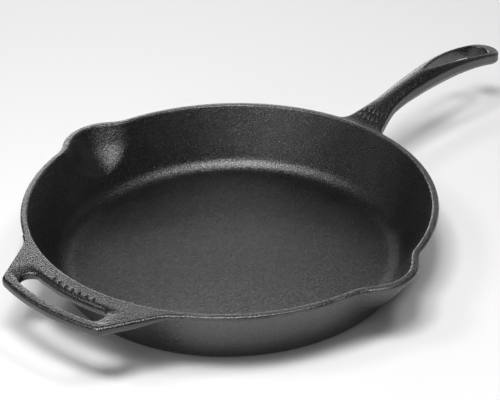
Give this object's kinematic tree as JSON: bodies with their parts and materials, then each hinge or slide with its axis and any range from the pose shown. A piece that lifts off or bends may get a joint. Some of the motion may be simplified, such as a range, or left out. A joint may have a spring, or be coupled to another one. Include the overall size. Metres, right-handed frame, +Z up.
{
  "type": "cast iron skillet",
  "caption": "Round cast iron skillet with opposed pour spouts, a slotted helper handle and a long arched handle with a teardrop hanging hole.",
  "frame": {"origin": "centre of the flat underside, on the surface the skillet stands on", "axes": "+X along the long handle from the pan's centre, +Y to the left pour spout, +Z up through the open mouth"},
  "size_m": [0.5105, 0.33, 0.0693],
  "materials": {
    "seasoned_iron": "pebbled sand-cast grain with a matte seasoned surface, slightly worn on the edges"
  },
  "bodies": {
    "root": {"cooking_floor": "seasoned_iron", "side_wall": "seasoned_iron", "rim": "seasoned_iron", "left_pour_spout": "seasoned_iron", "right_pour_spout": "seasoned_iron", "helper_handle": "seasoned_iron", "helper_handle_marks": "seasoned_iron", "long_handle": "seasoned_iron", "long_handle_marks": "seasoned_iron"}
  },
  "joints": []
}
